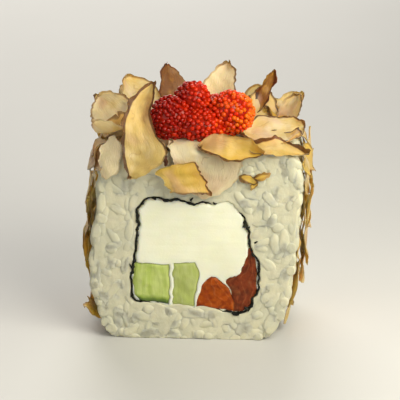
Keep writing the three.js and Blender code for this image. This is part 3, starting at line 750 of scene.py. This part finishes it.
def shreds(pile):
    """Small shreds dragged over the rice: place, heading in degrees and length."""
    spots = [
        (-0.8, 28.8, 84, 0.9), (-7.4, 29.2, 196, 0.9), (9.5, 23.6, 100, 1.5), (9.9, 23.2, 60, 0.9),
        (11.4, 20.6, 30, 0.7), (8.6, 5.6, 200, 1.5), (10.6, 6.4, 170, 1.2), (-12.4, 15.2, 150, 0.6),
        (3.4, 28.5, 10, 0.8), (-12.1, 9.2, 240, 0.7), (-11.2, 24.2, 110, 0.6),
    ]
    for number, (x, z, heading, size) in enumerate(spots):
        for side in (-1, 1):
            turn = math.radians(heading + 20 * side)
            along = np.array([math.cos(turn), math.sin(turn)])
            over = np.array([-along[1], along[0]])
            rows = []
            for share, half in ((0, 0.34), (0.35, 0.36), (0.7, 0.24), (1, 0.05)):
                here = np.array([x, z]) + along * share * size + over * 0.1 * math.sin(5 * share + number)
                left, right = here + over * half * size * 0.7, here - over * half * size * 0.7
                near, far = side * (BACK + 0.18), side * (BACK - 0.32)
                ring = ((left, near), (right, near), (right, far), (left, far))
                rows.append([(flat[0], y, flat[1]) for flat, y in ring])
            closed = grid_faces(4, 4, round_columns=True).tolist() + [[3, 2, 1, 0], [12, 13, 14, 15]]
            pile.add(np.array(rows), np.array(closed))


# The filling


def section_grid(left, right, rows, columns):
    """Points over a section between its left and right edges, as rows from the bottom up."""
    left, right = smooth_line(left, rows), smooth_line(right, rows)
    share = np.linspace(0, 1, columns)[None, :, None]
    grid = left[:, None, :] * (1 - share) + right[:, None, :] * share
    return grid + 0.10 * np.stack([waves(grid, 1.5, 61), waves(grid, 1.5, 62)], axis=-1)


def rim_of(rows, columns):
    """The border of a grid, once round, as places in the flattened grid."""
    places = np.arange(rows * columns).reshape(rows, columns)
    return np.concatenate([places[0], places[1:, -1], places[-1, -2::-1], places[-2:0:-1, 0]])


def make_strip(name, slot, finish, seed, proud, skinned=""):
    """A stick or strip through the slice, its cut ends slightly uneven and rounded at the rim.

    It keeps how far each point lies in from its skin, below or all round, as a negative number.
    """
    rows, columns = STRIP_GRID
    flat = section_grid(*SECTIONS[name], rows, columns)
    corners = flat.reshape(-1, 2)
    rim = rim_of(rows, columns)
    edge, below = (
        np.array([np.min(np.linalg.norm(line - point, axis=1)) for point in corners])
        for line in (corners[rim], corners[:columns])
    )
    skin = {"round": -edge, "below": -below, "": np.full(len(corners), -9.0)}[skinned]
    rounding = 0.35 * np.maximum(0, 1 - edge / 0.5) ** 2
    uneven = 0.10 * waves(corners, 2.4, seed) + 0.035 * waves(corners, 0.8, seed + 1)
    up = np.repeat(np.linspace(0, 1, rows), columns)
    along_layer = np.tile(np.linspace(0, 1, columns), rows)
    pile = Pile()
    for side in (-1, 1):
        ends = np.column_stack([corners[:, 0], side * (BACK + proud + uneven - rounding), corners[:, 1]])
        pile.add(ends, grid_faces(rows, columns)[:, ::-side], skin=skin, layers=along_layer + 0.4 * up)
    pile.join(wall(rim, rim + len(corners)))
    pile.piece(name.replace("stick", "cut").replace("strip", "cut"), slot, finish, name)


def make_cheese(finish):
    """The cheese fills the seaweed, and stands back where a stick or a strip comes through."""
    around, out_steps = 360, 64
    angles, arms = rays(around)
    outer = reach(SEAWEED_LOOP, angles)
    edge = MIDDLE + arms * outer[:, None]
    outer += sheet_wander(edge) - 0.10 + 0.35 * smeared(edge)
    shares = np.linspace(0, 1, out_steps)[1:]
    radius = outer[:, None] * shares[None, :]
    points = np.vstack([(MIDDLE + radius[..., None] * arms[:, None, :]).reshape(-1, 2), MIDDLE])
    uneven = 0.13 * waves(points, 6.0, 41) + 0.02 * waves(points * [0.25, 1.6], 1.4, 42)
    rim = np.append(np.broadcast_to(shares, radius.shape).ravel(), 0)
    depth = 0.02 + uneven - 0.45 * np.maximum(0, (rim - 0.94) / 0.06) ** 2
    for edges in SECTIONS.values():
        border = section_grid(*edges, *STRIP_GRID).reshape(-1, 2)[rim_of(*STRIP_GRID)]
        past, _ = beyond(points, border, loop_outward(border))
        depth -= 1.6 * np.clip(0.1 - past / 0.3, 0, 1)
    pile = Pile()
    starts = []
    rings = np.arange(around) * (out_steps - 1)
    for side in (-1, 1):
        start = pile.total
        starts.append(start)
        corners = np.column_stack([points[:, 0], side * (BACK + depth), points[:, 1]])
        pile.add(corners, grid_faces(around, out_steps - 1, round_rows=True)[:, ::side])
        fan = np.column_stack([np.full(around, len(points) - 1), np.roll(rings, -1), rings])
        pile.join(fan[:, ::side], start)
    pile.join(wall(*(start + rings + out_steps - 2 for start in starts)))
    pile.piece("cheese_filling", "cheese", finish, "soft_cheese")


# Roe


def make_roe(finish):
    """Small eggs packed over the five lumps, and a core behind them."""
    draw = random.Random(31)
    pile, core = Pile(), Pile()
    egg, egg_faces = ball(10, 7)
    lump, lump_faces = ball(28, 20)
    kept = []
    for number, (at, size) in enumerate(ROE_LUMPS):
        count = int(4 * math.pi * (size.prod() ** (2 / 3)) / EGG_AREA)
        for n in range(count):
            height = 1 - 2 * (n + 0.5) / count
            spin = n * math.pi * (3 - math.sqrt(5)) + number
            ring = math.sqrt(1 - height * height)
            toward = np.array([ring * math.cos(spin), ring * math.sin(spin), height])
            centre = at + toward * (size - EGG_RADIUS * draw.uniform(0.75, 1.15))
            centre += np.array([draw.gauss(0, 0.09) for _ in range(3)])
            buried = any(
                np.linalg.norm((centre - other) / (its - 1.2)) < 1
                for k, (other, its) in enumerate(ROE_LUMPS) if k != number
            )
            close = any((centre - other) @ (centre - other) < EGG_SPACING**2 for other in kept)
            if not (centre[2] < ROE_FOOT or buried or close):
                kept.append(centre)
        corners = lump * (size - EGG_RADIUS * 1.05) + at
        corners[:, 2] = np.maximum(corners[:, 2], ROE_FOOT - 0.3)
        core.add(corners, lump_faces, tone=0.2)
    for centre in kept:
        size = EGG_RADIUS * draw.uniform(0.92, 1.12)
        stretch = np.array([draw.uniform(0.94, 1.06) for _ in range(3)])
        # Eggs further right get a higher tone, more orange: partly their own colour, partly painted light
        # from the right and painted shade on the left.
        tone = 0.28 + 0.055 * centre[0] + draw.uniform(-0.2, 0.25)
        pile.add(egg * size * stretch + centre, egg_faces, tone=min(1, max(0, tone)))
    pile.piece("roe_eggs", "roe", finish, "roe_clump")
    core.piece("roe_core", "roe", finish, "roe_clump")


# Shavings


def clear_of_rice(points, near=0.4, room=0.9):
    """Points pushed out of the rice the shortest way, past its outline or off its cut faces."""
    flat = points.reshape(-1, 3).copy()
    past, out = beyond(flat[:, [0, 2]], RICE_LOOP, RICE_OUT)
    ahead = np.abs(flat[:, 1]) - BACK
    gap = np.maximum(past, ahead)
    push = near + (room - near) * np.exp(np.minimum(0, gap - room) / (room - near)) - gap
    push = np.where(gap < room, push, 0)
    over_side = past > ahead
    flat[:, [0, 2]] += out * (push * over_side)[:, None]
    flat[:, 1] += np.sign(flat[:, 1]) * push * ~over_side
    return flat.reshape(points.shape)


def middle_line(shape, u):
    """How far a shaving's middle line has turned at u, from -1 to 1, and its place along and up."""
    bend, fold = math.radians(shape["bend"]), shape.get("fold")
    heading = bend / 2 * (np.tanh(u / fold) / math.tanh(1 / fold) if fold else u)
    between = (heading[1:] + heading[:-1]) / 2
    steps = np.stack([np.cos(between), np.sin(between)], axis=1) * np.diff(u)[:, None] * shape["length"] / 2
    line = np.vstack([[0, 0], np.cumsum(steps, axis=0)])
    return heading, line - [np.interp(0, u, line[:, k]) for k in (0, 1)]


def half_widths(shape, u, v, seed):
    """How far a shaving reaches on the side before its middle line and on the side after it."""
    if "edges" in shape:
        stations = np.linspace(-1, 1, len(shape["edges"][0]))
        curves = (smooth_line(np.column_stack([stations, side]), 61) for side in shape["edges"])
        return [np.interp(u, curve[:, 0], curve[:, 1]) for curve in curves]
    uneven = 1 + 0.10 * np.sin((4 + np.sign(v)) * u + 2.3 * seed + 1.7 * np.sign(v))
    blunt = np.where(u < 0, *shape.get("ends", (2.4, 2.4)))
    half = shape["width"] / 2 * np.maximum(0.05, (1 - np.abs(u) ** blunt) ** 0.7) * uneven
    return half, half


def near_roe(points):
    """How close points are to the roe, from 0 where its stain and painted shade end to 1 at the eggs."""
    gaps = [(np.linalg.norm((points - at) / size, axis=-1) - 1) * np.mean(size) for at, size in ROE_LUMPS]
    return np.clip(1 - np.min(gaps, axis=0) / STAIN_AND_SHADE_REACH, 0, 1)


def sheet_of(shape, place, origin, grid):
    """A shaving's closed, thin body, set in place and clear of the rice, and the values it keeps."""
    along, across = grid
    length, width = shape["length"], shape["width"]
    seed = shape.get("seed", length + width)
    key = int(seed * 97) % 10**6
    u, v = np.meshgrid(np.linspace(-1, 1, along), np.linspace(-1, 1, across), indexing="ij")
    before, after = half_widths(shape, u, v, seed)
    across_by = (after * (1 + v) - before * (1 - v)) / 2
    half = (before + after) / 2
    flat = np.stack([u * length / 2, across_by], axis=-1)
    tear = 0.2 * waves(flat, 1.6, key) + 0.12 * waves(flat, 0.6, key + 1)
    height = shape.get("bow", 0) * width * (v * v - 0.3) + 0.25 * np.sin(4 * u + seed) * v
    height = height + 0.25 * waves(flat, 4.5, key + 2) + 0.09 * waves(flat, 1.5, key + 3)
    across_by = across_by + v * np.abs(v) ** 3 * tear + shape.get("sweep", 0) * (0.4 - u * u)
    heading, line = middle_line(shape, u[:, 0])
    zero, one = np.zeros_like(u), np.ones_like(u)
    heading, roll = heading[:, None] * one, math.radians(shape.get("twist", 0)) * u
    ahead = np.stack([np.cos(heading), zero, np.sin(heading)], -1)
    forward = np.stack([line[:, :1] * one, zero, line[:, 1:] * one], -1) + ahead * (u**9 * tear)[..., None]
    up = np.stack([-np.sin(heading), zero, np.cos(heading)], -1)
    side = np.stack([zero, one, zero], -1)
    over = side * np.cos(roll)[..., None] + up * np.sin(roll)[..., None]
    face = up * np.cos(roll)[..., None] - side * np.sin(roll)[..., None]
    middle = forward + over * across_by[..., None] + face * height[..., None]
    middle = clear_of_rice(middle @ place.T + np.asarray(origin, float))
    middle[..., 2] = np.maximum(middle[..., 2], 0.3)
    normal = np.cross(np.gradient(middle, axis=0), np.gradient(middle, axis=1))
    normal /= np.maximum(1e-9, np.linalg.norm(normal, axis=-1, keepdims=True))
    border = np.maximum(np.abs(u), np.abs(v))
    thin = SHEET / 2 * (1 - 0.55 * border**8)
    upper, lower = middle + normal * thin[..., None], middle - normal * thin[..., None]
    count = along * across
    faces, rim = grid_faces(*grid), rim_of(*grid)
    sides = np.vstack([faces, faces[:, ::-1] + count, wall(rim, rim + count)])
    inwards = np.minimum((1 - np.abs(v)) * half, (1 - np.abs(u)) * length / 2)
    rim_tone = shape["rim"] * (1 + shape.get("rim_lean", 0) * v)
    values = dict(
        along=np.tile(u.ravel() * length / 10, 2), across=np.tile(v.ravel() * width / 10, 2),
        edge=-np.tile(inwards.ravel(), 2), tone=shape["tone"], rim=np.tile(rim_tone.ravel(), 2),
        # The roe's stain on a shaving, with painted shade near the roe.
        seed=key % 977 / 10, stain=shape.get("stain", 0.4) * np.tile(near_roe(middle).ravel(), 2),
    )
    return np.vstack([upper.reshape(-1, 3), lower.reshape(-1, 3)]), sides, values


def on_rice(angle, y, lift):
    """The frame and the middle of a shaving that lies on the rice at an angle round the slice."""
    turn = math.radians(angle)
    arms = RICE_LOOP - [0, 19]
    index = np.argmax(arms @ [math.cos(turn), math.sin(turn)] / np.linalg.norm(arms, axis=1))
    point = RICE_LOOP[index] + RICE_OUT[index] * lift
    return outward_basis(RICE_OUT[index]), (point[0], y, point[1])


def lay(pile, shape, place, origin, grid):
    """Adds a shaving to a pile."""
    corners, faces, values = sheet_of(shape, place, origin, grid)
    pile.add(corners, faces, **values)


def make_large_shavings(finish):
    """The large shavings on top and on the sides, a piece each."""
    sheets = {name: (shape, turn_matrix(*shape["turn"]), shape["at"]) for name, shape in TOP_SHAVINGS.items()}
    for name, (angle, y, lift, turn, length, width, bend, tone) in SIDE_SHAVINGS.items():
        basis, at = on_rice(angle, y, lift - 0.3)
        # Smoke-browned rims; the stronger brown on the left side is painted shade, where that side lies in
        # shadow.
        rim = 0.35 if "right" in name else 0.8
        shape = dict(length=length, width=width, bend=bend, tone=tone, rim=rim)
        sheets[name] = shape, basis @ turn_matrix(*turn), at
    for name, sheet in sheets.items():
        pile = Pile()
        lay(pile, *sheet, LARGE_GRID)
        pile.piece(f"flake_{name}", "shaving", finish, f"shaving_{name}")


def make_bed(finish):
    """The heap of smaller shavings on top, lying every way."""
    draw = random.Random(71)
    pile = Pile()
    for number, shape in enumerate(BED_SHAVINGS):
        ends = draw.uniform(1.5, 3.5), draw.uniform(1.5, 3.5)
        shape = {"bow": 0.12, **shape, "seed": 20.3 + 1.7 * number, "ends": ends}
        lay(pile, shape, turn_matrix(*shape["turn"]), shape["at"], BED_GRID)
    laid = 0
    most_back, most_side, petal_right, petal_front = 14.9, 22.4, -7, -13.8
    while laid < HEAP_COUNT:
        x, y = draw.uniform(-18, 18), draw.uniform(-11.5, 11.5)
        under_roe = math.hypot((x - 1) / 10.5, (y + 4.5) / 8) < 1
        if under_roe or (x > 6 and y < 0.5):
            continue
        shape = dict(
            length=draw.uniform(5, 12), width=draw.uniform(2.5, 7), bend=draw.uniform(-30, 100),
            bow=draw.uniform(-0.1, 0.28), twist=draw.uniform(-45, 45), seed=draw.uniform(20, 90),
            tone=draw.choice([-0.2, 0.0, 0.1, 0.3, 0.6, 1.2]), rim=draw.uniform(0.4, 1.0),
            ends=(draw.uniform(1.2, 4), draw.uniform(1.2, 4)), sweep=draw.uniform(-2, 2),
        )
        place = turn_matrix(draw.uniform(0, 360), draw.uniform(-10, 28), draw.uniform(-32, 32))
        corners, faces, values = sheet_of(shape, place, (x, y, TOP + draw.uniform(0.8, 2.6)), HEAP_GRID)
        overhangs = corners[:, 1].max() >= most_back or np.abs(corners[:, 0]).max() >= most_side
        cuts_petal = x < petal_right and corners[:, 1].min() < petal_front
        if not (overhangs or cuts_petal):
            pile.add(corners, faces, **values)
            laid += 1
    pile.piece("flake_heap", "shaving", finish, "shaving_bed")


def make_side_scraps(finish):
    """Smaller shavings between the large ones on the sides, and crumbs on the front."""
    draw = random.Random(83)
    pile = Pile()
    for n in range(SCRAP_COUNT):
        angle = draw.uniform(-40, 42) if n % 2 else draw.uniform(140, 222)
        shape = dict(
            length=draw.uniform(5, 11), width=draw.uniform(2.5, 5.5), bend=draw.uniform(-15, 35), bow=0.05,
            twist=draw.uniform(-25, 25), seed=n + 200.6, tone=draw.uniform(0, 0.9),
            rim=draw.uniform(0.1, 0.7), ends=(draw.uniform(1.2, 3), draw.uniform(1.2, 3)),
            sweep=draw.uniform(-1, 1),
        )
        basis, at = on_rice(angle, draw.uniform(-10.5, 10.5), draw.uniform(0.5, 2.0))
        place = basis @ turn_matrix(draw.uniform(-60, 60), draw.uniform(-4, 12), draw.uniform(-10, 10))
        lay(pile, shape, place, at, SCRAP_GRID)
    for shape in FRONT_CRUMBS:
        lay(pile, shape, turn_matrix(*shape["turn"]), shape["at"], SCRAP_GRID)
    pile.piece("flake_scraps", "shaving", finish)


# The room


def make_floor():
    mesh = bpy.data.meshes.new("floor")
    mesh.from_pydata([(-4, -4, 0), (4, -4, 0), (4, 4, 0), (-4, 4, 0)], [], [(0, 1, 2, 3)])
    floor = placed("floor", mesh)
    floor.data.materials.append(floor_finish())


def aim(thing, target):
    thing.rotation_euler = (Vector(target) - thing.location).to_track_quat("-Z", "Y").to_euler()


def make_light(name, place, size, watts, colour=(1, 1, 1)):
    lamp = bpy.data.lights.new(name, "AREA")
    lamp.size, lamp.energy, lamp.color = size, watts, colour
    made = placed(name, lamp)
    made.location = place
    aim(made, (0, 0, 0.02))


def make_room():
    scene = bpy.context.scene
    scene.view_settings.view_transform = "Standard"
    world = bpy.data.worlds.new("studio")
    world.use_nodes = True
    world.node_tree.nodes["Background"].inputs["Color"].default_value = (1.0, 0.975, 0.92, 1)
    world.node_tree.nodes["Background"].inputs["Strength"].default_value = 0.22
    scene.world = world
    make_floor()
    make_light("key", (0.09, -0.085, 0.12), 0.12, 0.28, (1.0, 0.95, 0.81))
    make_light("fill", (-0.13, -0.24, 0.22), 0.20, 0.11, (1.0, 0.985, 0.95))
    make_light("back", (-0.15, 0.80, 0.45), 0.60, 6.0, (1.0, 0.96, 0.88))


def make_camera():
    azimuth, elevation, distance, lens = 3.0, 20.0, 0.335, 152.0
    target = (0.0003, 0.0, 0.0245)
    a, e = math.radians(azimuth), math.radians(elevation)
    back = (math.sin(a) * math.cos(e), -math.cos(a) * math.cos(e), math.sin(e))
    camera = bpy.data.cameras.new("camera")
    camera.lens = lens
    made = placed("camera", camera)
    made.location = tuple(t + distance * b for t, b in zip(target, back))
    aim(made, target)
    bpy.context.scene.camera = made


make_camera()
make_room()
make_rice(rice_finish())
make_seaweed(seaweed_finish())
make_cheese(cheese_finish())
flesh = cucumber_finish("cucumber_left", (0.46, 0.57, 0.12), (0.57, 0.66, 0.22))
pale_flesh = cucumber_finish("cucumber_right", (0.43, 0.50, 0.13), (0.50, 0.56, 0.21))
orange_fish = salmon_finish("salmon_orange", (0.40, 0.075, 0.003), (0.26, 0.038, 0.002))
dark_fish = salmon_finish("salmon_dark", (0.22, 0.040, 0.010), (0.12, 0.022, 0.006))
make_strip("cucumber_stick_left", "cucumber", flesh, 51, -0.02, "below")
make_strip("cucumber_stick_right", "cucumber", pale_flesh, 53, -0.06)
make_strip("salmon_strip_low", "salmon", orange_fish, 55, 0.0, "round")
make_strip("salmon_strip_side", "salmon", dark_fish, 57, -0.05, "round")
make_roe(roe_finish())
shaving = shaving_finish()
make_large_shavings(shaving)
make_bed(shaving)
make_side_scraps(shaving)
